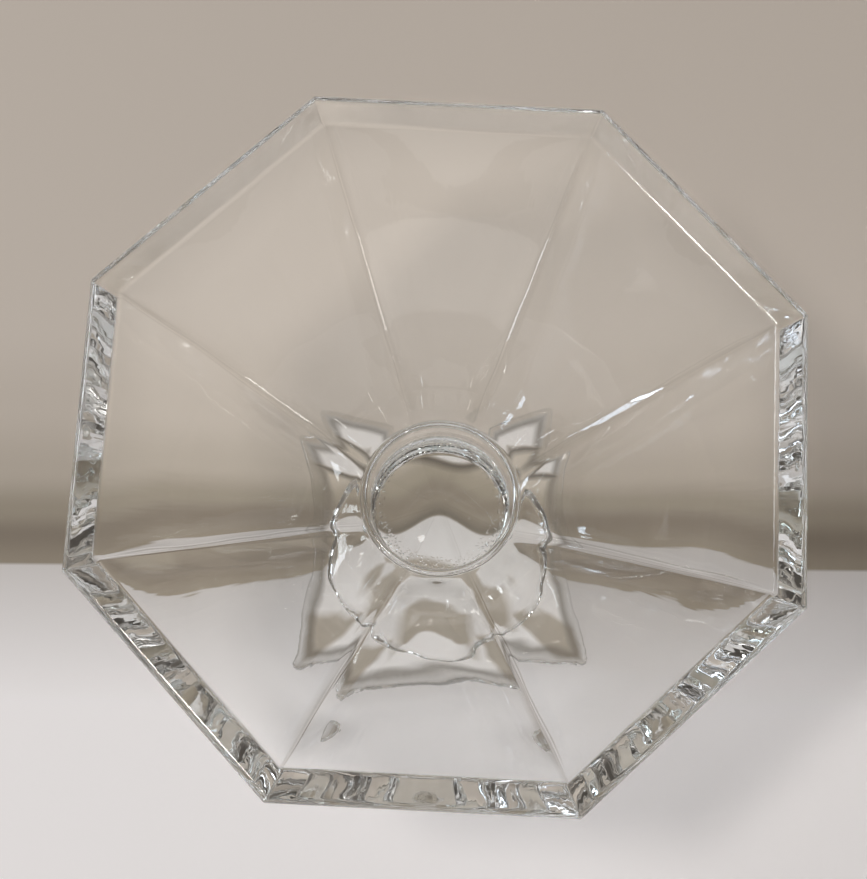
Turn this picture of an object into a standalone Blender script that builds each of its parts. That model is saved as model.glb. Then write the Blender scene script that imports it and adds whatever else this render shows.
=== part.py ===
"""Footed glass serving bowl: an eight-sided flared bowl bonded to a square pedestal foot.

Metres, +Z up. The origin is the centre of the foot's underside and the mouth faces up.
The bowl's flat sides face +X, -X, +Y, -Y and the four diagonals between them.
"""

import math

import bmesh
import bpy

# Driving dimensions of the whole object.
HEIGHT = 0.160
RIM_APOTHEM = 0.117
BOWL_SIDES = 8
FOOT_SIDES = 4
FOOT_HALF_WIDTH = 0.0505
# The foot was set on by hand, a few degrees off the bowl's own sides.
FOOT_TWIST = math.radians(5.0)

# Rim: a flat top face between two rounded edges.
RIM_WIDTH = 0.0105
RIM_INNER_RADIUS = 0.0028
RIM_INNER_OVERHANG = 0.0013
RIM_INNER_SWEEP = 47.0
RIM_OUTER_RADIUS = 0.0022
RIM_SIDE_HEIGHT = 0.0032

# Walls: they flare a little towards the rim and thicken towards the bottom.
WALL_FLARE = 0.0012
WALL_FOOT_RADIUS = 0.0350
WALL_FOOT_Z = 0.0605
NECK_RADIUS = 0.0270
NECK_BLEND = 0.0120
BOWL_UNDERSIDE_Z = 0.0490

# Ridges between the panels: crisp at the rim, softer further down.
RIDGE_RADIUS = 0.0010
OUTER_RIDGE_GROWTH = 0.0060
INNER_RIDGE_GROWTH = 0.0100
LARGEST_CORNER_SHARE = 0.6
# The inside of each panel bows by this share of the way from flat to round.
PANEL_BOW = 0.44
PANEL_BOW_RUN = 0.018
WELL_BLEND_POWER = 5

# Well: a round pocket behind a small bead.
BEAD_RADIUS = 0.0013
BEAD_CENTRE_OFFSET = 0.0010
BEAD_START = 25.0
BEAD_END = 185.0
GROOVE_SHARE = 0.3
WELL_MOUTH_RADIUS = 0.0260
WELL_MOUTH_Z = 0.0782
WELL_FLOOR_RADIUS = 0.0254
WELL_FLOOR_Z = 0.0705
WELL_FILLET = 0.0010

# Bond between bowl and foot: a thin clear disc with a working gap on each face.
BOND_THICKNESS = 0.0006
BOND_INSET = 0.0010
FACE_GAP = 0.0003

# Foot: a waisted stem that flares out to a square plate, hollowed from below.
STEM_LAND = 0.0012
WAIST_RADIUS = 0.0245
WAIST_Z = 0.0380
FLARE_OUT_POWER = 2.1
FLARE_DOWN_POWER = 1.6
SQUARING_RATE = 1.35
FOOT_EDGE_HEIGHT = 0.0062
FOOT_EDGE_ROUND = 0.0012
FOOT_EDGE_START = 70.0
FOOT_PLAN_CORNER = 0.0030
HOLLOW_RADIUS = 0.0430
HOLLOW_STEP_WIDTH = 0.0030
HOLLOW_STEP_HEIGHT = 0.0038
HOLLOW_HEIGHT = 0.0150

# Mesh density.
BOWL_FLAT_COLUMNS = 4
BOWL_CORNER_COLUMNS = 4
FOOT_FLAT_COLUMNS = 8
FOOT_CORNER_COLUMNS = 6
WALL_STEPS = 10
ROUND_STEPS = 4
FLARE_STEPS = 14
HOLLOW_STEPS = 9
SHADE_ANGLE = math.radians(25.0)
BOWL_COLUMNS = (BOWL_SIDES, BOWL_FLAT_COLUMNS, BOWL_CORNER_COLUMNS)
FOOT_COLUMNS = (FOOT_SIDES, FOOT_FLAT_COLUMNS, FOOT_CORNER_COLUMNS)


def remove_everything():
    for obj in list(bpy.data.objects):
        bpy.data.objects.remove(obj)


def glass_material(name, colour, roughness, ior):
    material = bpy.data.materials.new(name)
    material.use_nodes = True
    shader = material.node_tree.nodes["Principled BSDF"]
    shader.inputs["Base Color"].default_value = colour
    shader.inputs["Roughness"].default_value = roughness
    shader.inputs["Metallic"].default_value = 0.0
    shader.inputs["IOR"].default_value = ior
    shader.inputs["Transmission Weight"].default_value = 1.0
    return material


def smooth_step(t):
    t = max(0.0, min(1.0, t))
    return t * t * (3.0 - 2.0 * t)


def arc(centre_r, centre_z, radius, start_degrees, end_degrees, steps):
    """Points (r, z) of an arc in the profile plane, both ends included."""
    points = []
    for i in range(steps + 1):
        angle = math.radians(start_degrees + (end_degrees - start_degrees) * i / steps)
        points.append((centre_r + radius * math.cos(angle), centre_z + radius * math.sin(angle)))
    return points


def bowed_line(start, end, bow, steps):
    """Points strictly between start and end, on a line that bows by `bow` to its right as it runs."""
    (r0, z0), (r1, z1) = start, end
    length = math.hypot(r1 - r0, z1 - z0)
    normal = ((z1 - z0) / length, -(r1 - r0) / length)
    points = []
    for i in range(1, steps):
        t = i / steps
        push = 4.0 * bow * t * (1.0 - t)
        points.append((r0 + (r1 - r0) * t + normal[0] * push, z0 + (z1 - z0) * t + normal[1] * push))
    return points


def bend(start, control, end, steps):
    """Points of a quadratic curve, both ends included."""
    points = []
    for i in range(steps + 1):
        t = i / steps
        weights = ((1.0 - t) ** 2, 2.0 * t * (1.0 - t), t * t)
        r = sum(w * p[0] for w, p in zip(weights, (start, control, end)))
        z = sum(w * p[1] for w, p in zip(weights, (start, control, end)))
        points.append((r, z))
    return points


def polygon_ring(columns, r, corner, roundness):
    """Points (x, y) round a regular polygon of apothem `r`, its corners rounded by arcs of radius `corner`.

    At roundness 1 every point lies on the circle of radius `r`. `columns` is the number of sides, of columns
    across each flat and of columns round each corner.
    """
    sides, flat_columns, corner_columns = columns
    half = math.pi / sides
    corner = min(corner, LARGEST_CORNER_SHARE * r)
    flat_half = (r - corner) * math.tan(half)
    centre = (r - corner) / math.cos(half)
    points = []
    for side in range(sides):
        facing = 2.0 * half * side
        for i in range(flat_columns + 1):
            points.append((r, flat_half * (2.0 * i / flat_columns - 1.0), facing))
        for i in range(1, corner_columns):
            turn = half * (2.0 * i / corner_columns - 1.0)
            points.append((centre + corner * math.cos(turn), corner * math.sin(turn), facing + half))
    ring = []
    for x, y, facing in points:
        angle = facing + math.atan2(y, x)
        distance = math.hypot(x, y) * (1.0 - roundness) + r * roundness
        ring.append((distance * math.cos(angle), distance * math.sin(angle)))
    return ring


def round_ring(r, z):
    """A circular ring (r, corner, roundness, z)."""
    return r, 0.5 * r, 1.0, z


def loft(name, columns, rings):
    """A closed body through rings of (r, corner, roundness, z), with a flat fan over each end ring."""
    mesh = bpy.data.meshes.new(name)
    made = bmesh.new()
    rows = []
    for r, corner, roundness, z in rings:
        rows.append([made.verts.new((x, y, z)) for x, y in polygon_ring(columns, r, corner, roundness)])
    count = len(rows[0])
    for lower, upper in zip(rows, rows[1:]):
        for i in range(count):
            j = (i + 1) % count
            made.faces.new((lower[i], lower[j], upper[j], upper[i]))
    for row, z in ((rows[0], rings[0][3]), (rows[-1], rings[-1][3])):
        hub = made.verts.new((0.0, 0.0, z))
        for i in range(count):
            made.faces.new((row[i], row[(i + 1) % count], hub))
    bmesh.ops.recalc_face_normals(made, faces=made.faces)
    made.to_mesh(mesh)
    made.free()
    return mesh


def place(name, mesh, material, turn=0.0):
    obj = bpy.data.objects.new(name, mesh)
    obj.rotation_euler = (0.0, 0.0, turn)
    bpy.context.scene.collection.objects.link(obj)
    mesh.materials.append(material)
    mesh.shade_smooth()
    mesh.set_sharp_from_angle(angle=SHADE_ANGLE)
    return obj


def outer_ring(r, z):
    """An octagon on the outside that eases to the round neck."""
    roundness = smooth_step((NECK_RADIUS + NECK_BLEND - r) / NECK_BLEND)
    depth = (RIM_APOTHEM - r) / (RIM_APOTHEM - WALL_FOOT_RADIUS)
    ridge = RIDGE_RADIUS + OUTER_RIDGE_GROWTH * max(0.0, min(1.0, depth))
    return r, ridge, roundness, z


def inner_ring(r, z):
    """An octagon on the inside whose panels bow a little and end round at the well."""
    inner_edge = RIM_APOTHEM - RIM_WIDTH
    bowed = PANEL_BOW * smooth_step((inner_edge - r) / PANEL_BOW_RUN)
    depth = max(0.0, min(1.0, (inner_edge - r) / (inner_edge - WELL_MOUTH_RADIUS - 2.0 * BEAD_RADIUS)))
    roundness = bowed + (1.0 - bowed) * depth**WELL_BLEND_POWER
    return r, RIDGE_RADIUS + INNER_RIDGE_GROWTH * depth, roundness, z


def outside_profile():
    """(r, z) from the underside's edge, up the neck and the wall and over the rim to its inner edge."""
    neck = (NECK_RADIUS, BOWL_UNDERSIDE_Z)
    wall_foot = (WALL_FOOT_RADIUS, WALL_FOOT_Z)
    rim_edge = (RIM_APOTHEM, HEIGHT - RIM_SIDE_HEIGHT)
    slope = (rim_edge[1] - wall_foot[1]) / (rim_edge[0] - wall_foot[0])
    meeting = (NECK_RADIUS, WALL_FOOT_Z - slope * (WALL_FOOT_RADIUS - NECK_RADIUS))
    points = bend(neck, meeting, wall_foot, ROUND_STEPS)
    points += bowed_line(wall_foot, rim_edge, -WALL_FLARE, WALL_STEPS) + [rim_edge]
    points += arc(
        RIM_APOTHEM - RIM_OUTER_RADIUS, HEIGHT - RIM_OUTER_RADIUS, RIM_OUTER_RADIUS, 0, 90, ROUND_STEPS
    )
    points += arc(
        RIM_APOTHEM - RIM_WIDTH + RIM_INNER_OVERHANG,
        HEIGHT - RIM_INNER_RADIUS,
        RIM_INNER_RADIUS,
        90,
        90 + RIM_INNER_SWEEP,
        ROUND_STEPS,
    )
    return points


def inside_profile(start):
    """(r, z) from the rim's inner edge, down the wall and over the bead to the well's floor."""
    bead_centre = WELL_MOUTH_RADIUS + BEAD_CENTRE_OFFSET
    bead = arc(bead_centre, WELL_MOUTH_Z, BEAD_RADIUS, BEAD_START, BEAD_END, 2 * ROUND_STEPS)
    wall_end = (bead[0][0] + BEAD_RADIUS, bead[0][1] + BEAD_RADIUS)
    groove = (bead[0][0] + GROOVE_SHARE * BEAD_RADIUS, bead[0][1])
    side_end = (WELL_FLOOR_RADIUS, WELL_FLOOR_Z + WELL_FILLET)
    points = bowed_line(start, wall_end, WALL_FLARE, WALL_STEPS)
    points += bend(wall_end, groove, bead[0], 2) + bead[1:]
    points += bend(
        side_end, (WELL_FLOOR_RADIUS, WELL_FLOOR_Z), (WELL_FLOOR_RADIUS - WELL_FILLET, WELL_FLOOR_Z), 2
    )
    return points


def bowl():
    """Eight flared panels over a round well, with a round neck underneath."""
    outside = outside_profile()
    rings = [outer_ring(r, z) for r, z in outside]
    rings += [inner_ring(r, z) for r, z in inside_profile(outside[-1])]
    material = glass_material("bowl_glass", (0.93, 0.95, 0.94, 1.0), 0.02, 1.52)
    return place("bowl", loft("bowl", BOWL_COLUMNS, rings), material)


def bond_disc():
    """The clear cement between the bowl's underside and the top of the stem."""
    high = BOWL_UNDERSIDE_Z - FACE_GAP
    low = high - BOND_THICKNESS
    radius = NECK_RADIUS - BOND_INSET
    material = glass_material("bond_clear", (0.90, 0.91, 0.88, 1.0), 0.15, 1.48)
    mesh = loft("bond_disc", BOWL_COLUMNS, [round_ring(radius, low), round_ring(radius, high)])
    return place("bond_disc", mesh, material)


def foot_rings():
    """Rings from the stem's top, down the flare, round the plate's edge and up into the hollow."""
    top = BOWL_UNDERSIDE_Z - 2.0 * FACE_GAP - BOND_THICKNESS
    edge_reach = FOOT_HALF_WIDTH - FOOT_EDGE_ROUND
    rings = [round_ring(NECK_RADIUS, top), round_ring(NECK_RADIUS, top - STEM_LAND)]
    rings.append(round_ring((NECK_RADIUS + WAIST_RADIUS) / 2.0, (top - STEM_LAND + WAIST_Z) / 2.0))
    for i in range(FLARE_STEPS + 1):
        t = i / FLARE_STEPS
        reach = WAIST_RADIUS + (edge_reach - WAIST_RADIUS) * t**FLARE_OUT_POWER
        z = WAIST_Z + (FOOT_EDGE_HEIGHT - WAIST_Z) * (1.0 - (1.0 - t) ** FLARE_DOWN_POWER)
        roundness = 1.0 - smooth_step(t * SQUARING_RATE)
        rings.append((reach, FOOT_PLAN_CORNER, roundness, z))
    edge_top = FOOT_EDGE_HEIGHT - FOOT_EDGE_ROUND
    edge = arc(edge_reach, edge_top, FOOT_EDGE_ROUND, FOOT_EDGE_START, 0, ROUND_STEPS)
    edge += arc(edge_reach, FOOT_EDGE_ROUND, FOOT_EDGE_ROUND, 0, -90, ROUND_STEPS)
    rings += [(r, FOOT_PLAN_CORNER, 0.0, z) for r, z in edge]
    rings.append(round_ring(HOLLOW_RADIUS, 0.0))
    dome_radius = HOLLOW_RADIUS - HOLLOW_STEP_WIDTH
    dome_rise = HOLLOW_HEIGHT - HOLLOW_STEP_HEIGHT
    for i in range(HOLLOW_STEPS):
        share = 1.0 - i / HOLLOW_STEPS
        z = HOLLOW_STEP_HEIGHT + dome_rise * (1.0 - share * share)
        rings.append(round_ring(dome_radius * share, z))
    return rings


def foot():
    """A round stem that flares into a square plate with a stepped, domed hollow underneath."""
    material = glass_material("foot_glass", (0.93, 0.95, 0.94, 1.0), 0.02, 1.52)
    mesh = loft("foot", FOOT_COLUMNS, foot_rings())
    return place("foot", mesh, material, turn=FOOT_TWIST)


def build():
    remove_everything()
    bowl()
    bond_disc()
    foot()


build()
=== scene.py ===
"""Looks for a footed octagonal glass bowl: clear pressed glass with fire-polished, slightly wavy faces."""

import math

import bmesh
import bpy
from mathutils import Matrix, Vector, noise


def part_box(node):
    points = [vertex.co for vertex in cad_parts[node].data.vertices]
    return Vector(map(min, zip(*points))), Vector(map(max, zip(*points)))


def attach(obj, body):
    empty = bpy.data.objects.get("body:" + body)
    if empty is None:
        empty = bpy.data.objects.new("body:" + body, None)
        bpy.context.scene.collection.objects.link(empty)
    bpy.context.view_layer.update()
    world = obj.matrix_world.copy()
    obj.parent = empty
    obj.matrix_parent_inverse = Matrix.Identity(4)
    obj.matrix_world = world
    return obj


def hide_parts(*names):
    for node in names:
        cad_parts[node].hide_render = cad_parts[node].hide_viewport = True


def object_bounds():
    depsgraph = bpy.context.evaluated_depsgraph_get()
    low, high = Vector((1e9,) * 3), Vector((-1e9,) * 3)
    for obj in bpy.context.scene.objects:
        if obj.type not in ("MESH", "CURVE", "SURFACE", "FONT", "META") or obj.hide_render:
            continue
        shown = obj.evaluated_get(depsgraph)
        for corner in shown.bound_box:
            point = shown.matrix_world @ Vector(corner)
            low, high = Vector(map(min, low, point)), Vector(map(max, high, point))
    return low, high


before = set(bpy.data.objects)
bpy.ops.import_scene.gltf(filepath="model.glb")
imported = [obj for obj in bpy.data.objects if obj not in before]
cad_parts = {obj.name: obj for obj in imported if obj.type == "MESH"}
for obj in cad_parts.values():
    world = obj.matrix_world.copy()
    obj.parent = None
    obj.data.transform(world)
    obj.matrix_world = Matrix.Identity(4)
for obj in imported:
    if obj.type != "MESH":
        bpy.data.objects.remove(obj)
CAD_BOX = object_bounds()

# Sizes read from the frame.
BOWL_LOW, BOWL_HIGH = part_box("bowl")
FOOT_LOW, FOOT_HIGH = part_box("foot")
TOP = BOWL_HIGH.z
RIM_APOTHEM = BOWL_HIGH.x
UNDERSIDE = BOWL_LOW.z
STEM_TOP = FOOT_HIGH.z

# Shape of the glass, in metres, as the CAD model has it. Angles of arcs are in degrees.
BOWL_SIDES = 8
FOOT_SIDES = 4
FOOT_TWIST = math.radians(5.0)
FOOT_HALF = 0.0505
RIM_WIDTH = 0.0105
RIM_INNER_RADIUS = 0.0028
RIM_INNER_OVERHANG = 0.0013
RIM_INNER_SWEEP = 47.0
RIM_OUTER_RADIUS = 0.0022
RIM_SIDE_HEIGHT = 0.0032
WALL_FLARE = 0.0012
WALL_FOOT_RADIUS = 0.0350
WALL_FOOT_Z = 0.0605
NECK_RADIUS = 0.0270
NECK_BLEND = 0.0120
RIDGE_RADIUS = 0.0010
OUTER_RIDGE_GROWTH = 0.0060
INNER_RIDGE_GROWTH = 0.0100
LARGEST_CORNER_SHARE = 0.6
PANEL_BOW = 0.44
PANEL_BOW_RUN = 0.018
WELL_BLEND_POWER = 5
BEAD_RADIUS = 0.0013
BEAD_CENTRE_OFFSET = 0.0010
BEAD_START = 25.0
BEAD_END = 185.0
GROOVE_SHARE = 0.3
WELL_MOUTH_RADIUS = 0.0260
WELL_MOUTH_Z = 0.0782
WELL_SIDE_BOW = 0.0002
WELL_FLOOR_RADIUS = 0.0254
WELL_FLOOR_Z = 0.0705
WELL_FILLET = 0.0010
WELL_DISH = 0.0004
STEM_LAND = 0.0012
WAIST_RADIUS = 0.0245
WAIST_Z = 0.0380
FLARE_OUT_POWER = 2.1
FLARE_DOWN_POWER = 1.6
SQUARING_RATE = 1.35
EDGE_HEIGHT = 0.0062
EDGE_ROUND = 0.0012
EDGE_START = 75.0
PLAN_CORNER = 0.0030
HOLLOW_RADIUS = 0.0430
HOLLOW_STEP_WIDTH = 0.0030
HOLLOW_STEP_HEIGHT = 0.0038
HOLLOW_STEP_SOFTNESS = 0.3
HOLLOW_HEIGHT = 0.0150
# A tiny bevel on the edges where the glasses meet.
JOINT_BEVEL = 0.0003
# The joint between bowl and foot: its inset, its gap to each glass and the bevel round its edge.
BOND_INSET = 0.0002
BOND_GAP = 0.00005
BOND_BEVEL = 0.0002
BOND_FACE_RIM = 0.0006

# Columns of each mesh: sides, columns across a flat, columns round a corner.
BOWL_COLUMNS = (BOWL_SIDES, 32, 12)
FOOT_COLUMNS = (FOOT_SIDES, 60, 16)
BOND_COLUMNS = (BOWL_SIDES, 10, 10)

# Waves of the fire-polished faces: their height and their length. The bowl is calmer near its rim.
BOWL_RIPPLE = (0.00008, 0.022)
FOOT_RIPPLE = (0.00015, 0.016)
FINE_WAVE_SHARE = 0.4
FINE_WAVE_RATE = 2.3
RIM_CALM = 0.75
RIM_CALM_FROM = 0.12
RIM_CALM_RUN = 0.02
JOINT_HOLD = 0.001
TABLE_HOLD = 0.0002

# Glass colours and densities.
GLASS_IOR = 1.52
CLEAR = (0.985, 0.99, 0.985, 1.0)
GLASS_TINT = (0.83, 0.87, 0.87, 1.0)
GLASS_DENSITY = 1.3
# Painted shade: the colours the bowl's and the foot's glass take where they are seen at a grazing angle.
BOWL_GRAZING_SHADE = (0.60, 0.60, 0.59, 1.0)
FOOT_GRAZING_SHADE = (0.22, 0.20, 0.18, 1.0)
BOND_TINT = (0.9, 0.92, 0.88, 1.0)
BOND_DENSITY = 2.0
# Painted shade: the colour the joint's glass takes where it is seen at a grazing angle.
BOND_GRAZING_SHADE = (0.5, 0.5, 0.48, 1.0)
# Painted shade: the colour the bowl's glass takes beside its ridges.
RIDGE_SHADE = (0.50, 0.46, 0.41, 1.0)
# How strong the painted ridge shade is on the near (-Y) and the far (+Y) side, and how fast that changes.
RIDGE_STRENGTH_NEAR = 1.7
RIDGE_STRENGTH_FAR = 0.5
RIDGE_STRENGTH_RUN = 0.035

# The floor stands for a pale table and, beyond a seam, a taupe wall, both with painted shade near the seam.
# It is partly self-lit.
STAGE_RADIUS = 2.6
SWEEP_RADIUS = 1.0
FLOOR_Z = FOOT_LOW.z - 0.0003
SEAM_NEAR = Vector((-0.1621, -0.0164))
SEAM_FAR = Vector((0.1568, -0.0027))
# Painted shade by the seam: how far it reaches into the table and into the wall.
TABLE_FADE = 0.055
WALL_FADE = 0.10
SEAM_SOFTNESS = 0.0006
TABLE_COLOUR = (0.70, 0.67, 0.66, 1.0)
# Painted shade: the table's and the wall's colours beside the seam, and the wall's steps back to its own
# colour.
TABLE_SHADE_BY_SEAM = (0.47, 0.44, 0.42, 1.0)
WALL_SHADE_BY_SEAM = (0.225, 0.190, 0.148, 1.0)
WALL_SHADE_STOPS = (
    (0.12, (0.180, 0.150, 0.118, 1.0)),
    (0.22, (0.245, 0.210, 0.165, 1.0)),
    (0.38, (0.350, 0.305, 0.255, 1.0)),
    (0.65, (0.405, 0.355, 0.305, 1.0)),
)
WALL_COLOUR = (0.440, 0.388, 0.338, 1.0)
WALL_UNDER_FOOT = (0.30, 0.26, 0.215, 1.0)
# Painted shade: the colour of the shade lines under the foot, inside its edge, beside the white tone and
# along the seam there.
PAINTED_SHADE_UNDER_FOOT = (0.115, 0.098, 0.080, 1.0)
STAGE_GLOW = 0.52
FOOT_GLOW = 0.95
# Extra glow under the bowl, for the light that thick glass loses, on the wall's and the table's side.
BOWL_GLOW_WALL = 0.27
BOWL_GLOW_TABLE = 0.06
BOWL_GLOW_CENTRE = (0.0, 0.043, 0.0)
# Waves of the seam and of the tones under the foot: radians per metre, then heights in metres.
TONE_WAVE_RATE = 150.0
TONE_WAVE = 0.0022
SEAM_WAVE = 0.0045
SEAM_SHIFT = 0.0122
TONE_BOW = 9.0

# Soft lights, all aimed at the bowl: name, place, width, height, power in watts, colour.
LIGHT_AIM = Vector((0.0, 0.0, 0.09))
LIGHTS = (
    ("key", (-0.65, -0.18, 1.97), 0.26, 0.26, 11.0, (1.0, 0.97, 0.94)),
    ("window", (-1.55, 0.58, 1.22), 0.40, 0.40, 5.0, (0.88, 0.94, 1.0)),
    ("low_window", (-1.97, -0.33, 0.47), 0.44, 0.28, 11.0, (0.70, 0.83, 1.0)),
    ("low_right", (1.97, -0.33, 0.47), 0.10, 0.28, 1.1, (1.0, 0.98, 0.95)),
    ("front_left", (-0.92, -1.77, 0.78), 0.12, 0.45, 1.4, (0.85, 0.92, 1.0)),
    ("front_right", (0.92, -1.77, 0.78), 0.12, 0.45, 1.2, (1.0, 0.98, 0.95)),
    ("room", (0.10, -2.00, 0.75), 1.20, 0.40, 1.2, (1.0, 0.98, 0.95)),
)
SKY_LOW = (0.20, (0.36, 0.32, 0.28, 1.0))
SKY_HIGH = (0.50, (0.055, 0.048, 0.042, 1.0))

CAMERA_PLACE = Vector((0.0044, -0.1655, 0.7759))
CAMERA_AIM = Vector((-0.0025, -0.0003, 0.16))
CAMERA_ROLL = math.radians(-3.021)
CAMERA_LENS = 81.91
SENSOR_WIDTH = 36.0

# Thick glass guides light down its walls, so light paths are long.
LIGHT_BOUNCES = 48
TRANSPARENT_BOUNCES = 24


def smooth_step(t):
    t = max(0.0, min(1.0, t))
    return t * t * (3.0 - 2.0 * t)


def arc(centre_r, centre_z, radius, start_degrees, end_degrees, steps):
    """Points (r, z) of an arc, both ends included."""
    points = []
    for i in range(steps + 1):
        angle = math.radians(start_degrees + (end_degrees - start_degrees) * i / steps)
        points.append((centre_r + radius * math.cos(angle), centre_z + radius * math.sin(angle)))
    return points


def bowed_line(start, end, bow, steps):
    """Points (r, z) between two ends, pushed aside by up to `bow`, without the ends."""
    (r0, z0), (r1, z1) = start, end
    span = math.hypot(r1 - r0, z1 - z0)
    normal = ((z1 - z0) / span, -(r1 - r0) / span)
    points = []
    for i in range(1, steps):
        t = i / steps
        push = 4.0 * bow * t * (1.0 - t)
        points.append((r0 + (r1 - r0) * t + normal[0] * push, z0 + (z1 - z0) * t + normal[1] * push))
    return points


def bend(start, control, end, steps):
    """Points (r, z) of a quadratic curve, both ends included."""
    points = []
    for i in range(steps + 1):
        t = i / steps
        weights = ((1.0 - t) ** 2, 2.0 * t * (1.0 - t), t * t)
        r = sum(w * p[0] for w, p in zip(weights, (start, control, end)))
        z = sum(w * p[1] for w, p in zip(weights, (start, control, end)))
        points.append((r, z))
    return points


def polygon_ring(columns, r, corner, roundness):
    """Points (x, y) round a regular polygon of apothem `r`, its corners rounded by arcs of radius `corner`.
    At roundness 1 every point lies on the circle of radius `r`. `columns` is (sides, flat, arc): how many
    sides there are, and how many columns across each flat and round each corner."""
    sides, flat_columns, arc_columns = columns
    half = math.pi / sides
    corner = min(corner, LARGEST_CORNER_SHARE * r)
    flat_half = (r - corner) * math.tan(half)
    centre = (r - corner) / math.cos(half)
    points = []
    for side in range(sides):
        facing = 2.0 * half * side
        for i in range(flat_columns + 1):
            along = flat_half * (2.0 * i / flat_columns - 1.0)
            points.append((r, along, facing))
        for i in range(1, arc_columns):
            turn = half * (2.0 * i / arc_columns - 1.0)
            points.append((centre + corner * math.cos(turn), corner * math.sin(turn), facing + half))
    ring = []
    for x, y, facing in points:
        angle = facing + math.atan2(y, x)
        distance = math.hypot(x, y) * (1.0 - roundness) + r * roundness
        ring.append((distance * math.cos(angle), distance * math.sin(angle)))
    return ring


def finished_mesh(made, name):
    mesh = bpy.data.meshes.new(name)
    made.to_mesh(mesh)
    made.free()
    return mesh


def loft(name, columns, rings, joint_ends):
    """A closed mesh through rings of (r, corner, roundness, z), with a fan over each end. The ends named in
    joint_ends, 'first' or 'last', take the second material slot."""
    made = bmesh.new()
    rows = []
    for r, corner, roundness, z in rings:
        rows.append([made.verts.new((x, y, z)) for x, y in polygon_ring(columns, r, corner, roundness)])
    count = len(rows[0])
    for lower, upper in zip(rows, rows[1:]):
        for i in range(count):
            j = (i + 1) % count
            made.faces.new((lower[i], lower[j], upper[j], upper[i]))
    for which, row, z in (("first", rows[0], rings[0][3]), ("last", rows[-1], rings[-1][3])):
        hub = made.verts.new((0.0, 0.0, z))
        for i in range(count):
            face = made.faces.new((row[i], row[(i + 1) % count], hub))
            face.material_index = 1 if which in joint_ends else 0
    bmesh.ops.recalc_face_normals(made, faces=made.faces)
    return finished_mesh(made, name)


def ripple(mesh, waves, seed, fixed):
    """Moves each vertex along its normal by smooth noise, as fire-polished glass has. `fixed(co)` gives how
    far a place is held still, 0 to 1."""
    amount, scale = waves
    mesh.update()
    normals = [Vector(v.normal) for v in mesh.vertices]
    shift = Vector((seed * 13.7, seed * 7.3, seed * 3.1))
    for vertex, normal in zip(mesh.vertices, normals):
        loose = 1.0 - fixed(vertex.co)
        if loose <= 0.0:
            continue
        point = vertex.co / scale + shift
        wave = noise.noise(point) + FINE_WAVE_SHARE * noise.noise(point * FINE_WAVE_RATE)
        vertex.co += normal * (amount * loose * wave)


def keep_inside(mesh):
    """The ripple stays within the size of the CAD model."""
    low, high = CAD_BOX
    for vertex in mesh.vertices:
        for axis in range(3):
            vertex.co[axis] = max(low[axis], min(high[axis], vertex.co[axis]))


def place(name, mesh, materials):
    obj = bpy.data.objects.new(name, mesh)
    bpy.context.scene.collection.objects.link(obj)
    for material in materials:
        mesh.materials.append(material)
    mesh.shade_smooth()
    return obj


def round_ring(r, z):
    return r, 0.5 * r, 1.0, z


def outer_ring(r, z):
    """An octagon on the outside that eases to the round neck."""
    roundness = smooth_step((NECK_RADIUS + NECK_BLEND - r) / NECK_BLEND)
    depth = max(0.0, min(1.0, (RIM_APOTHEM - r) / (RIM_APOTHEM - WALL_FOOT_RADIUS)))
    return r, RIDGE_RADIUS + OUTER_RIDGE_GROWTH * depth, roundness, z


def inner_ring(r, z):
    """An octagon on the inside whose panels bow a little and end round at the well."""
    inner_edge = RIM_APOTHEM - RIM_WIDTH
    bowed = PANEL_BOW * smooth_step((inner_edge - r) / PANEL_BOW_RUN)
    depth = max(0.0, min(1.0, (inner_edge - r) / (inner_edge - WELL_MOUTH_RADIUS - 2.0 * BEAD_RADIUS)))
    roundness = bowed + (1.0 - bowed) * depth**WELL_BLEND_POWER
    return r, RIDGE_RADIUS + INNER_RIDGE_GROWTH * depth, roundness, z


def outside_profile():
    """(r, z) from the underside's edge, up the neck and the wall and over the rim to its inner edge."""
    neck = (NECK_RADIUS, UNDERSIDE + JOINT_BEVEL)
    wall_foot = (WALL_FOOT_RADIUS, WALL_FOOT_Z)
    rim_edge = (RIM_APOTHEM, TOP - RIM_SIDE_HEIGHT)
    slope = (rim_edge[1] - wall_foot[1]) / (rim_edge[0] - wall_foot[0])
    meeting = (NECK_RADIUS, WALL_FOOT_Z - slope * (WALL_FOOT_RADIUS - NECK_RADIUS))
    points = [(NECK_RADIUS - JOINT_BEVEL, UNDERSIDE)]
    points += bend(neck, meeting, wall_foot, 18)
    points += bowed_line(wall_foot, rim_edge, -WALL_FLARE, 60) + [rim_edge]
    outer_round = arc(RIM_APOTHEM - RIM_OUTER_RADIUS, TOP - RIM_OUTER_RADIUS, RIM_OUTER_RADIUS, 0, 90, 6)
    inner_centre = (RIM_APOTHEM - RIM_WIDTH + RIM_INNER_OVERHANG, TOP - RIM_INNER_RADIUS)
    inner_round = arc(*inner_centre, RIM_INNER_RADIUS, 90, 90 + RIM_INNER_SWEEP, 8)
    return points + outer_round + bowed_line(outer_round[-1], inner_round[0], 0.0, 5) + inner_round


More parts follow.
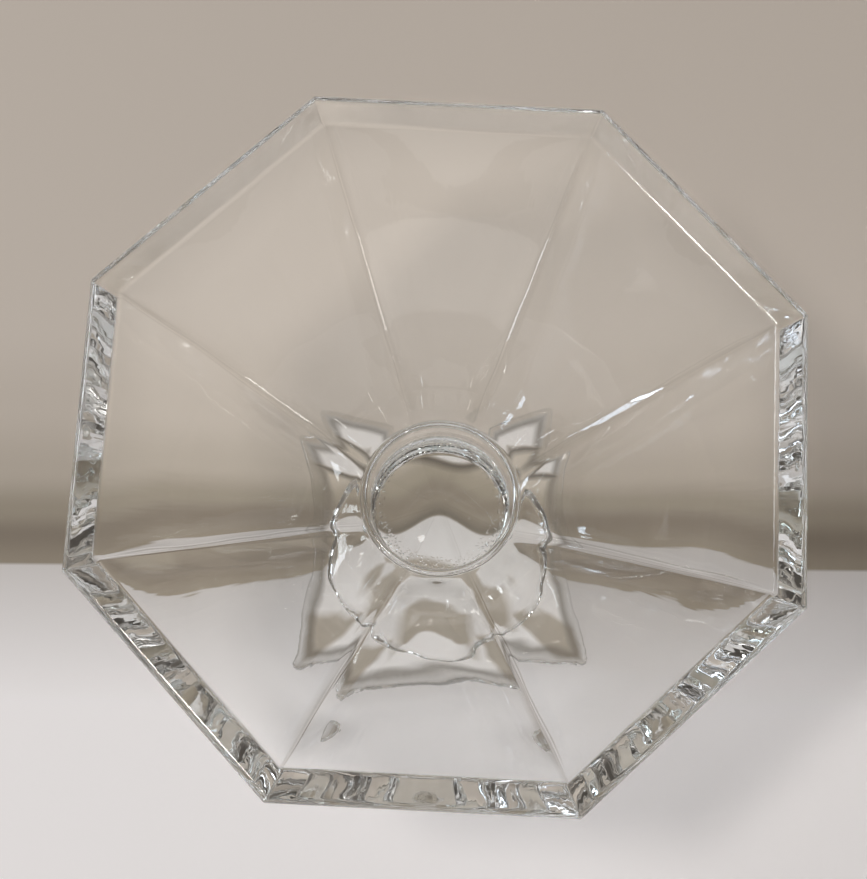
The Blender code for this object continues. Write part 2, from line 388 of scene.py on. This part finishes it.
def inside_profile(start):
    """(r, z) from the rim's inner edge, down the wall and over the bead to the well's floor."""
    bead = arc(WELL_MOUTH_RADIUS + BEAD_CENTRE_OFFSET, WELL_MOUTH_Z, BEAD_RADIUS, BEAD_START, BEAD_END, 14)
    wall_end = (bead[0][0] + BEAD_RADIUS, bead[0][1] + BEAD_RADIUS)
    groove = (bead[0][0] + GROOVE_SHARE * BEAD_RADIUS, bead[0][1])
    side_end = (WELL_FLOOR_RADIUS, WELL_FLOOR_Z + WELL_FILLET)
    floor_edge = WELL_FLOOR_RADIUS - WELL_FILLET
    points = bowed_line(start, wall_end, WALL_FLARE, 70)
    points += bend(wall_end, groove, bead[0], 5) + bead[1:]
    points += bowed_line(bead[-1], side_end, WELL_SIDE_BOW, 10)
    points += bend(side_end, (WELL_FLOOR_RADIUS, WELL_FLOOR_Z), (floor_edge, WELL_FLOOR_Z), 5)
    floor_steps = 12
    for i in range(1, floor_steps):
        share = 1.0 - i / floor_steps
        points.append((floor_edge * share, WELL_FLOOR_Z - WELL_DISH * (1.0 - share * share)))
    return points


def bowl_hold(co):
    """1 where the bowl meets the joint, less towards the rim and 0 between."""
    if co.z < UNDERSIDE + JOINT_HOLD:
        return 1.0
    return RIM_CALM * smooth_step((co.z - RIM_CALM_FROM) / RIM_CALM_RUN)


def make_bowl(materials):
    outside = outside_profile()
    rings = [outer_ring(r, z) for r, z in outside]
    rings += [inner_ring(r, z) for r, z in inside_profile(outside[-1])]
    mesh = loft("bowl_glass", BOWL_COLUMNS, rings, ("first",))
    ripple(mesh, BOWL_RIPPLE, 1, bowl_hold)
    keep_inside(mesh)
    return place("bowl_glass", mesh, materials)


def stem_rings():
    """Rings from the stem's top down to just above its waist."""
    land = STEM_TOP - STEM_LAND
    rings = [
        round_ring(NECK_RADIUS - JOINT_BEVEL, STEM_TOP),
        round_ring(NECK_RADIUS, STEM_TOP - JOINT_BEVEL),
        round_ring(NECK_RADIUS, land),
    ]
    steps = 10
    for i in range(1, steps):
        t = i / steps
        r = NECK_RADIUS + (WAIST_RADIUS - NECK_RADIUS) * smooth_step(t)
        rings.append(round_ring(r, land + (WAIST_Z - land) * t))
    return rings


def flare_rings():
    """Rings from the waist down the flare, which turns square, and round the plate's edge."""
    edge_reach = FOOT_HALF - EDGE_ROUND
    rings = []
    steps = 48
    for i in range(steps + 1):
        t = i / steps
        reach = WAIST_RADIUS + (edge_reach - WAIST_RADIUS) * t**FLARE_OUT_POWER
        z = WAIST_Z + (EDGE_HEIGHT - WAIST_Z) * (1.0 - (1.0 - t) ** FLARE_DOWN_POWER)
        roundness = 1.0 - smooth_step(t * SQUARING_RATE)
        rings.append((reach, PLAN_CORNER, roundness, z))
    edge = arc(edge_reach, EDGE_HEIGHT - EDGE_ROUND, EDGE_ROUND, EDGE_START, 0, 6)
    edge += arc(edge_reach, EDGE_ROUND, EDGE_ROUND, 0, -90, 6)
    return rings + [(r, PLAN_CORNER, 0.0, z) for r, z in edge]


def hollow_rings():
    """Rings from the hollow's edge, up its soft step and over its dome."""
    dome_radius = HOLLOW_RADIUS - HOLLOW_STEP_WIDTH
    soft = HOLLOW_STEP_SOFTNESS * HOLLOW_STEP_WIDTH
    step = bend((HOLLOW_RADIUS + soft, 0.0), (HOLLOW_RADIUS, 0.0), (HOLLOW_RADIUS - 0.4 * soft, soft), 5)
    step += bend(
        (dome_radius + soft, HOLLOW_STEP_HEIGHT - soft),
        (dome_radius + 0.4 * soft, HOLLOW_STEP_HEIGHT),
        (dome_radius - 0.4 * soft, HOLLOW_STEP_HEIGHT + 0.2 * soft),
        5,
    )
    rings = [round_ring(r, z) for r, z in step]
    dome_edge, dome_low = step[-1]
    dome_steps = 40
    for i in range(1, dome_steps):
        share = 1.0 - i / dome_steps
        z = dome_low + (HOLLOW_HEIGHT - dome_low) * (1.0 - share * share)
        rings.append(round_ring(dome_edge * share, z))
    return rings


def foot_hold(co):
    """1 where the foot meets the joint or the table, 0 elsewhere."""
    return 1.0 if co.z > STEM_TOP - JOINT_HOLD or co.z < TABLE_HOLD else 0.0


def make_foot(materials):
    rings = stem_rings() + flare_rings() + hollow_rings()
    mesh = loft("foot_glass", FOOT_COLUMNS, rings, ("first",))
    mesh.transform(Matrix.Rotation(FOOT_TWIST, 4, "Z"))
    ripple(mesh, FOOT_RIPPLE, 2, foot_hold)
    keep_inside(mesh)
    return place("foot_glass", mesh, materials)


def make_bond(materials):
    """The clear joint, which fills the space between the bowl's underside and the stem."""
    low = STEM_TOP + BOND_GAP
    high = UNDERSIDE - BOND_GAP
    radius = NECK_RADIUS - BOND_INSET
    profile = (
        (radius - BOND_FACE_RIM, low),
        (radius - BOND_BEVEL / 2.0, low),
        (radius, low + BOND_BEVEL),
        (radius + BOND_BEVEL / 4.0, (low + high) / 2.0),
        (radius, high - BOND_BEVEL),
        (radius - BOND_BEVEL / 2.0, high),
        (radius - BOND_FACE_RIM, high),
    )
    mesh = loft("bond_joint", BOND_COLUMNS, [round_ring(r, z) for r, z in profile], ("first", "last"))
    return place("bond_joint", mesh, materials)


def node_material(name):
    material = bpy.data.materials.new(name)
    material.use_nodes = True
    tree = material.node_tree
    return material, tree, tree.nodes["Principled BSDF"]


def noise_of(tree, vector, scale, detail):
    texture = tree.nodes.new("ShaderNodeTexNoise")
    texture.inputs["Scale"].default_value = scale
    texture.inputs["Detail"].default_value = detail
    tree.links.new(vector, texture.inputs["Vector"])
    return texture.outputs["Fac"]


def ramp(tree, source, low, high, low_value, high_value):
    ranged = tree.nodes.new("ShaderNodeMapRange")
    ranged.inputs["From Min"].default_value = low
    ranged.inputs["From Max"].default_value = high
    ranged.inputs["To Min"].default_value = low_value
    ranged.inputs["To Max"].default_value = high_value
    tree.links.new(source, ranged.inputs["Value"])
    return ranged.outputs["Result"]


def math_node(tree, operation, first, second=None, third=None):
    node = tree.nodes.new("ShaderNodeMath")
    node.operation = operation
    for socket, value in zip(node.inputs, (first, second, third)):
        if value is None:
            continue
        if isinstance(value, bpy.types.NodeSocket):
            tree.links.new(value, socket)
        else:
            socket.default_value = value
    return node.outputs["Value"]


def vector_math(tree, operation, vector, second, output):
    node = tree.nodes.new("ShaderNodeVectorMath")
    node.operation = operation
    tree.links.new(vector, node.inputs[0])
    if second is not None:
        node.inputs[1].default_value = second
    return node.outputs[output]


def dot(tree, vector, direction):
    return vector_math(tree, "DOT_PRODUCT", vector, direction, "Value")


def length(tree, vector):
    return vector_math(tree, "LENGTH", vector, None, "Value")


def product(tree, *factors):
    result = factors[0]
    for factor in factors[1:]:
        result = math_node(tree, "MULTIPLY", result, factor)
    return result


def between(tree, value, rise, fall, peak=1.0):
    """`peak` between the ranges `rise` and `fall`, each (from, to), and 0 outside them."""
    return product(tree, ramp(tree, value, *rise, 0.0, peak), ramp(tree, value, *fall, 1.0, 0.0))


def mix_colour(tree, factor, first, second):
    node = tree.nodes.new("ShaderNodeMix")
    node.data_type = "RGBA"
    tree.links.new(factor, node.inputs["Factor"])
    for name, value in (("A", first), ("B", second)):
        if isinstance(value, bpy.types.NodeSocket):
            tree.links.new(value, node.inputs[name])
        else:
            node.inputs[name].default_value = value
    return node.outputs["Result"]


def joined_vector(tree, *parts):
    node = tree.nodes.new("ShaderNodeCombineXYZ")
    for part, socket in zip(parts, node.inputs):
        tree.links.new(part, socket)
    return node.outputs["Vector"]


def split_vector(tree, vector):
    node = tree.nodes.new("ShaderNodeSeparateXYZ")
    tree.links.new(vector, node.inputs["Vector"])
    return node.outputs["X"], node.outputs["Y"], node.outputs["Z"]


def round_axis(tree, vector):
    """The distance from the bowl's axis and the angle round it."""
    x, y = split_vector(tree, vector)[:2]
    return length(tree, joined_vector(tree, x, y)), math_node(tree, "ARCTAN2", y, x)


def painted_ridge_shade(tree, position):
    """How strongly painted shade darkens the glass beside each ridge, in place of the room's reflections
    there: a soft band with a thin line at its edge.
    """
    y, height = split_vector(tree, position)[1:]
    from_axis, around = round_axis(tree, position)
    half = math.pi / BOWL_SIDES
    off_ridge = math_node(tree, "WRAP", math_node(tree, "SUBTRACT", around, half), half, -half)
    wander = noise_of(tree, position, 30.0, 1.0)
    drift = ramp(tree, wander, 0.3, 0.7, -0.0005, 0.0005)
    beside = math_node(tree, "ADD", math_node(tree, "MULTIPLY", off_ridge, from_axis), drift)
    band = between(tree, beside, (-0.0030, -0.0004), (-0.0001, 0.0002), 0.34)
    line = between(tree, beside, (0.0003, 0.0005), (0.0007, 0.0010), 0.55)
    run = RIDGE_STRENGTH_RUN
    return product(
        tree,
        math_node(tree, "MAXIMUM", band, line),
        ramp(tree, y, -run, run, RIDGE_STRENGTH_NEAR, RIDGE_STRENGTH_FAR),
        ramp(tree, height, 0.080, 0.095, 0.3, 1.0),
        ramp(tree, height, TOP - 0.010, TOP - 0.003, 1.0, 0.0),
    )


def well_grains(tree, position):
    """Fine grains in the glass under the edge of the well's floor."""
    height = split_vector(tree, position)[2]
    from_axis = round_axis(tree, position)[0]
    ring = between(
        tree,
        from_axis,
        (WELL_FLOOR_RADIUS - 0.0064, WELL_FLOOR_RADIUS - 0.0029),
        (WELL_FLOOR_RADIUS + 0.0008, WELL_FLOOR_RADIUS + 0.0014),
    )
    layer = between(
        tree,
        height,
        (WELL_FLOOR_Z - 0.0045, WELL_FLOOR_Z - 0.0015),
        (WELL_FLOOR_Z + 0.0025, WELL_FLOOR_Z + 0.0040),
    )
    dots = noise_of(tree, position, 1300.0, 0.0)
    return product(tree, ring, layer, ramp(tree, dots, 0.60, 0.72, 0.0, 1.0))


def rim_waves(tree, position):
    """Long waves that follow the rim, as pressed glass has on its sides."""
    height = split_vector(tree, position)[2]
    from_axis, around = round_axis(tree, position)
    spread = joined_vector(
        tree,
        math_node(tree, "MULTIPLY", around, 46.0),
        math_node(tree, "MULTIPLY", height, 60.0),
        math_node(tree, "MULTIPLY", from_axis, 60.0),
    )
    waves = noise_of(tree, spread, 1.0, 1.0)
    return product(tree, ramp(tree, height, 0.118, 0.135, 0.0, 0.12), waves)


def bump(tree, heights, strength, distance, normal=None):
    node = tree.nodes.new("ShaderNodeBump")
    node.inputs["Strength"].default_value = strength
    node.inputs["Distance"].default_value = distance
    tree.links.new(heights, node.inputs["Height"])
    if normal is not None:
        tree.links.new(normal, node.inputs["Normal"])
    return node.outputs["Normal"]


def glass(name, tint, density, edge, painted_ridges=False):
    """Clear glass: faint smears in its polish, a fine orange-peel ripple, and its own colour in depth.
    It takes the darker colour `edge` where it is seen at a grazing angle: painted shade in place of the
    room's reflections at its edges."""
    material, tree, shader = node_material(name)
    shader.inputs["Transmission Weight"].default_value = 1.0
    shader.inputs["IOR"].default_value = GLASS_IOR
    position = tree.nodes.new("ShaderNodeTexCoord").outputs["Object"]

    # Painted shade: the glass turns darker where it is seen at a grazing angle.
    facing = tree.nodes.new("ShaderNodeLayerWeight")
    facing.inputs["Blend"].default_value = 0.5
    grazing = ramp(tree, facing.outputs["Facing"], 0.62, 0.97, 0.0, 1.0)
    colour = mix_colour(tree, grazing, CLEAR, edge)
    # Painted shade beside the ridges.
    if painted_ridges:
        colour = mix_colour(tree, painted_ridge_shade(tree, position), colour, RIDGE_SHADE)
    tree.links.new(colour, shader.inputs["Base Color"])

    smears = noise_of(tree, position, 22.0, 4.0)
    tree.links.new(ramp(tree, smears, 0.60, 0.78, 0.0, 0.05), shader.inputs["Roughness"])
    peel = bump(tree, noise_of(tree, position, 90.0, 1.0), 0.02, 0.0004)
    relief = math_node(tree, "ADD", rim_waves(tree, position), well_grains(tree, position))
    tree.links.new(bump(tree, relief, 0.5, 0.0003, peel), shader.inputs["Normal"])

    absorb = tree.nodes.new("ShaderNodeVolumeAbsorption")
    absorb.inputs["Color"].default_value = tint
    absorb.inputs["Density"].default_value = density
    tree.links.new(absorb.outputs["Volume"], tree.nodes["Material Output"].inputs["Volume"])
    return material


def joint_face(name):
    """The face where two fused or cemented glasses meet: light passes straight on."""
    material, tree, shader = node_material(name)
    tree.nodes.remove(shader)
    clear = tree.nodes.new("ShaderNodeBsdfTransparent")
    clear.inputs["Color"].default_value = (1.0, 1.0, 1.0, 1.0)
    tree.links.new(clear.outputs["BSDF"], tree.nodes["Material Output"].inputs["Surface"])
    return material


def foot_reach(tree, position):
    """The distance from the foot's axis, measured square to the foot's own sides."""
    cosine, sine = math.cos(FOOT_TWIST), math.sin(FOOT_TWIST)
    along_x = math_node(tree, "ABSOLUTE", dot(tree, position, (cosine, sine, 0.0)))
    along_y = math_node(tree, "ABSOLUTE", dot(tree, position, (-sine, cosine, 0.0)))
    return math_node(tree, "MAXIMUM", along_x, along_y)


def room_paint(tree, seen, offset, side):
    """The table before the seam and the wall beyond it, both darker beside the seam as painted shade."""
    shade = tree.nodes.new("ShaderNodeValToRGB")
    shade.color_ramp.interpolation = "EASE"
    stops = shade.color_ramp.elements
    stops[0].position = 0.0
    stops[0].color = WALL_SHADE_BY_SEAM
    stops[1].position = 1.0
    stops[1].color = WALL_COLOUR
    for position, colour in WALL_SHADE_STOPS:
        stops.new(position).color = colour
    tree.links.new(ramp(tree, seen, offset, offset + WALL_FADE, 0.0, 1.0), shade.inputs["Fac"])
    near = ramp(tree, seen, offset - TABLE_FADE, offset, 0.0, 1.0)
    table = mix_colour(tree, near, TABLE_COLOUR, TABLE_SHADE_BY_SEAM)
    return mix_colour(tree, side, table, shade.outputs["Color"])


def foot_paint(tree, paint, position, beside, beyond, covered):
    """Tones under the foot, for the farther table and wall that the foot gathers from behind, and a mask of
    painted shade lines beside the white tone and inside the foot's edge.
    """
    aside = math_node(tree, "ABSOLUTE", beside)
    turns = math_node(tree, "MULTIPLY", beside, TONE_WAVE_RATE)
    waved = math_node(tree, "MULTIPLY_ADD", math_node(tree, "SINE", turns), TONE_WAVE, beyond)
    bowed = math_node(tree, "MULTIPLY_ADD", math_node(tree, "MULTIPLY", aside, aside), TONE_BOW, waved)
    behind = product(tree, covered, ramp(tree, waved, 0.0320, 0.0345, 0.0, 1.0))
    paint = mix_colour(tree, behind, paint, TABLE_SHADE_BY_SEAM)
    ahead = product(
        tree,
        between(tree, bowed, (-0.0350, -0.0335), (-0.0150, -0.0120)),
        ramp(tree, aside, 0.018, 0.025, 1.0, 0.0),
    )
    corners = product(
        tree,
        covered,
        ramp(tree, math_node(tree, "ADD", beyond, aside), -0.0105, -0.0070, 0.0, 1.0),
        ramp(tree, waved, -0.0320, -0.0290, 1.0, 0.0),
    )
    paint = mix_colour(tree, math_node(tree, "MAXIMUM", ahead, corners), paint, WALL_UNDER_FOOT)
    # Painted shade: lines beside the white tone and inside the foot's edge.
    shade_by_white = product(tree, covered, between(tree, waved, (0.0280, 0.0315), (0.0320, 0.0340)))
    reach = foot_reach(tree, position)
    shade_by_edge = product(tree, covered, ramp(tree, reach, FOOT_HALF - 0.0085, FOOT_HALF - 0.0055, 0.0, 0.75))
    return paint, math_node(tree, "MAXIMUM", shade_by_white, shade_by_edge)


def stage_material(name):
    """A painted, partly self-lit surface: pale on one side of a seam, taupe on the other, with painted
    shade by the seam. Under the foot the seam bends, painted shade lines are added, and the glow rises,
    painted light for the light that the glass gathers there."""
    material, tree, shader = node_material(name)
    position = tree.nodes.new("ShaderNodeNewGeometry").outputs["Position"]
    along = (SEAM_FAR - SEAM_NEAR).normalized()
    across = Vector((-along.y, along.x))
    offset = SEAM_NEAR.dot(across)
    beyond = dot(tree, position, (across.x, across.y, 0.0))
    beside = dot(tree, position, (along.x, along.y, 0.0))
    covered = ramp(tree, foot_reach(tree, position), FOOT_HALF - 0.0045, FOOT_HALF - 0.0015, 1.0, 0.0)
    under_foot = ramp(tree, length(tree, position), 0.030, 0.046, 1.0, 0.0)

    turns = math_node(tree, "MULTIPLY", beside, TONE_WAVE_RATE)
    hump = math_node(tree, "MULTIPLY_ADD", math_node(tree, "COSINE", turns), SEAM_WAVE, SEAM_SHIFT)
    seen = math_node(tree, "SUBTRACT", beyond, math_node(tree, "MULTIPLY", hump, under_foot))
    side = ramp(tree, seen, offset - SEAM_SOFTNESS, offset + SEAM_SOFTNESS, 0.0, 1.0)
    paint = room_paint(tree, seen, offset, side)
    paint, painted_shade = foot_paint(tree, paint, position, beside, beyond, covered)
    beyond_seam = math_node(tree, "SUBTRACT", seen, offset)
    # Painted shade: a line just beyond the seam, under the foot only.
    seam_shade = between(tree, beyond_seam, (-0.0004, 0.0010), (0.0020, 0.0075), 0.85)
    painted_shade = math_node(tree, "MAXIMUM", painted_shade, product(tree, under_foot, seam_shade))
    paint = mix_colour(tree, painted_shade, paint, PAINTED_SHADE_UNDER_FOOT)
    tree.links.new(paint, shader.inputs["Base Color"])
    tree.links.new(paint, shader.inputs["Emission Color"])

    glow = math_node(tree, "MULTIPLY_ADD", covered, FOOT_GLOW - STAGE_GLOW, STAGE_GLOW)
    from_middle = vector_math(tree, "SUBTRACT", position, BOWL_GLOW_CENTRE, "Vector")
    under_bowl = ramp(tree, length(tree, from_middle), 0.110, 0.152, 1.0, 0.0)
    extra = ramp(tree, side, 0.0, 1.0, BOWL_GLOW_TABLE, BOWL_GLOW_WALL)
    glow = math_node(tree, "MULTIPLY_ADD", under_bowl, extra, glow)
    tree.links.new(glow, shader.inputs["Emission Strength"])
    shader.inputs["Roughness"].default_value = 0.8
    shader.inputs["Specular IOR Level"].default_value = 0.15
    return material


def place_stage(name, mesh, material):
    obj = bpy.data.objects.new(name, mesh)
    mesh.materials.append(material)
    bpy.context.scene.collection.objects.link(obj)


def half_disc(name, start_angle, centre, material):
    """Half of the round floor, from `start_angle` over half a turn."""
    made = bmesh.new()
    steps = 64
    edge = []
    for i in range(steps + 1):
        angle = start_angle + math.pi * i / steps
        x = centre.x + STAGE_RADIUS * math.cos(angle)
        y = centre.y + STAGE_RADIUS * math.sin(angle)
        edge.append(made.verts.new((x, y, FLOOR_Z)))
    made.faces.new(edge)
    place_stage(name, finished_mesh(made, name), material)


def make_sweep(material):
    """The floor's edge curves up all round into a low wall."""
    made = bmesh.new()
    steps = 96
    rows = []
    for r, z in arc(STAGE_RADIUS, FLOOR_Z + SWEEP_RADIUS, SWEEP_RADIUS, -90, -20, 14):
        row = []
        for i in range(steps):
            angle = 2.0 * math.pi * i / steps
            row.append(made.verts.new((r * math.cos(angle), r * math.sin(angle), z)))
        rows.append(row)
    for lower, upper in zip(rows, rows[1:]):
        for i in range(steps):
            j = (i + 1) % steps
            made.faces.new((lower[j], lower[i], upper[i], upper[j]))
    mesh = finished_mesh(made, "sweep")
    mesh.shade_smooth()
    place_stage("sweep", mesh, material)


def make_stage():
    seam = SEAM_FAR - SEAM_NEAR
    turn = math.atan2(seam.y, seam.x)
    centre = (SEAM_FAR + SEAM_NEAR) / 2.0
    material = stage_material("stage_floor")
    half_disc("floor_front", turn + math.pi, centre, material)
    half_disc("floor_back", turn, centre, material)
    make_sweep(material)


def softbox(name, place_at, width, height, power, colour):
    light = bpy.data.lights.new(name, "AREA")
    light.shape = "RECTANGLE"
    light.size = width
    light.size_y = height
    light.energy = power
    light.color = colour
    obj = bpy.data.objects.new(name, light)
    obj.location = place_at
    obj.rotation_mode = "QUATERNION"
    obj.rotation_quaternion = (LIGHT_AIM - Vector(place_at)).to_track_quat("-Z", "Y")
    obj.visible_camera = False
    bpy.context.scene.collection.objects.link(obj)


def make_world():
    """A dim room, lighter low down than overhead."""
    world = bpy.data.worlds.new("studio")
    bpy.context.scene.world = world
    world.use_nodes = True
    tree = world.node_tree
    coordinates = tree.nodes.new("ShaderNodeTexCoord")
    height = dot(tree, coordinates.outputs["Generated"], (0.0, 0.0, 1.0))
    sky = tree.nodes.new("ShaderNodeValToRGB")
    for element, (position, colour) in zip(sky.color_ramp.elements, (SKY_LOW, SKY_HIGH)):
        element.position = position
        element.color = colour
    tree.links.new(height, sky.inputs["Fac"])
    tree.links.new(sky.outputs["Color"], tree.nodes["Background"].inputs["Color"])
    tree.nodes["Background"].inputs["Strength"].default_value = 1.0


def make_camera():
    data = bpy.data.cameras.new("camera")
    data.lens = CAMERA_LENS
    data.sensor_width = SENSOR_WIDTH
    data.clip_start = 0.01
    data.clip_end = 50.0
    obj = bpy.data.objects.new("camera", data)
    obj.location = CAMERA_PLACE
    direction = (CAMERA_AIM - CAMERA_PLACE).normalized()
    up = Vector((0.0, 1.0, 0.0))
    up = (up - direction * up.dot(direction)).normalized()
    up = Matrix.Rotation(CAMERA_ROLL, 3, direction) @ up
    right = direction.cross(up)
    turn = Matrix((right, up, -direction)).transposed()
    obj.rotation_mode = "QUATERNION"
    obj.rotation_quaternion = turn.to_quaternion()
    bpy.context.scene.collection.objects.link(obj)
    bpy.context.scene.camera = obj


def set_light_paths():
    cycles = bpy.context.scene.cycles
    cycles.max_bounces = LIGHT_BOUNCES
    cycles.transmission_bounces = LIGHT_BOUNCES
    cycles.glossy_bounces = LIGHT_BOUNCES
    cycles.transparent_max_bounces = TRANSPARENT_BOUNCES
    bpy.context.scene.view_settings.view_transform = "Standard"


def main():
    make_camera()
    set_light_paths()
    joint = joint_face("joint_clear")
    bowl = make_bowl([glass("bowl_clear", GLASS_TINT, GLASS_DENSITY, BOWL_GRAZING_SHADE, painted_ridges=True), joint])
    foot = make_foot([glass("foot_clear", GLASS_TINT, GLASS_DENSITY, FOOT_GRAZING_SHADE), joint])
    bond = make_bond([glass("bond_edge_clear", BOND_TINT, BOND_DENSITY, BOND_GRAZING_SHADE), joint])
    for piece, node, slot in (
        (bowl, "bowl", "bowl_glass"),
        (foot, "foot", "foot_glass"),
        (bond, "bond_disc", "bond_clear"),
    ):
        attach(piece, "root")
        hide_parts(node)
    make_stage()
    for light in LIGHTS:
        softbox(*light)
    make_world()


main()
